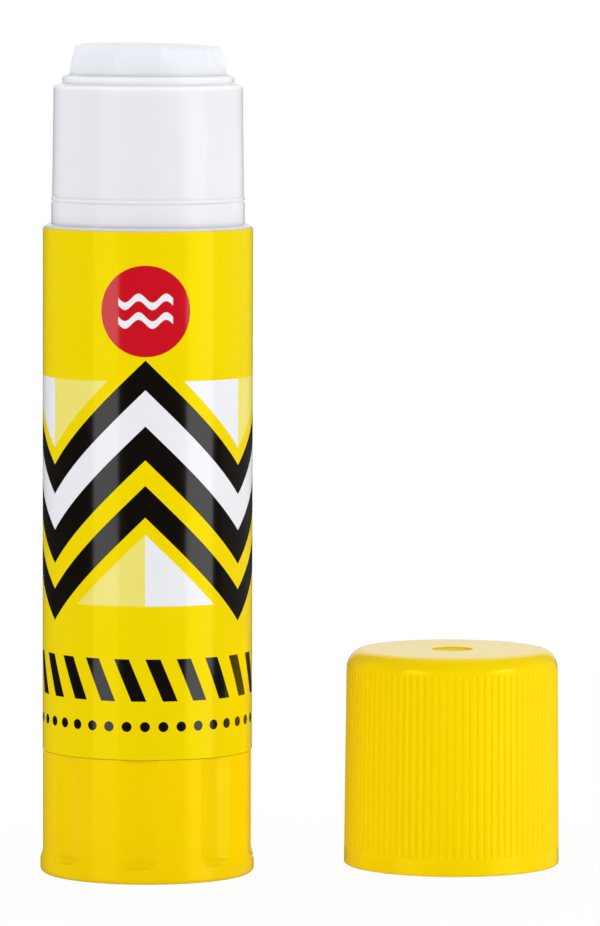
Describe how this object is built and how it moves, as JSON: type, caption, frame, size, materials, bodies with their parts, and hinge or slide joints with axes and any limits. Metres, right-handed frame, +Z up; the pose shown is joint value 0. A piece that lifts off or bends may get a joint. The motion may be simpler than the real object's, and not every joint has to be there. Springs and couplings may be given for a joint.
{
  "type": "glue stick",
  "caption": "Twist-up glue stick with a ribbed push-on cap standing beside it; a fluted knob turns a screw that lifts the glue.",
  "frame": {"origin": "on the stick's axis, at the middle of the knob's flat underside, on the surface that knob and cap stand on", "axes": "+Z up along the stick to the glue's tip, +X from the stick towards the cap, -Y towards the viewer of the label's front"},
  "size_m": [0.0498, 0.0269, 0.0792],
  "materials": {
    "yellow_plastic": "satin gloss",
    "white_plastic": "satin",
    "label_film": "gloss",
    "glue": "waxy"
  },
  "bodies": {
    "barrel": {"barrel": "white_plastic", "label": "label_film"},
    "knob": {"knob": "yellow_plastic", "spindle": "white_plastic"},
    "carrier": {"carrier": "white_plastic", "glue": "glue"},
    "cap": {"cap": "yellow_plastic"}
  },
  "joints": [
    {"name": "knob_turn", "type": "hinge", "parent": "barrel", "child": "knob", "pos_m": [0, 0, 0], "axis": [0, 0, 1], "range_deg": [-396, 3960]},
    {"name": "carrier_lift", "type": "slide", "parent": "barrel", "child": "carrier", "axis": [0, 0, 1], "range_m": [-0.0044, 0.044]},
    {"name": "cap_lift", "type": "slide", "parent": "barrel", "child": "cap", "axis": [0, 0, 1], "range_m": [0, 0.09]}
  ],
  "couplings": [
    {"joint": "carrier_lift", "follows": "knob_turn", "m_per_rad": 0.00063662}
  ]
}
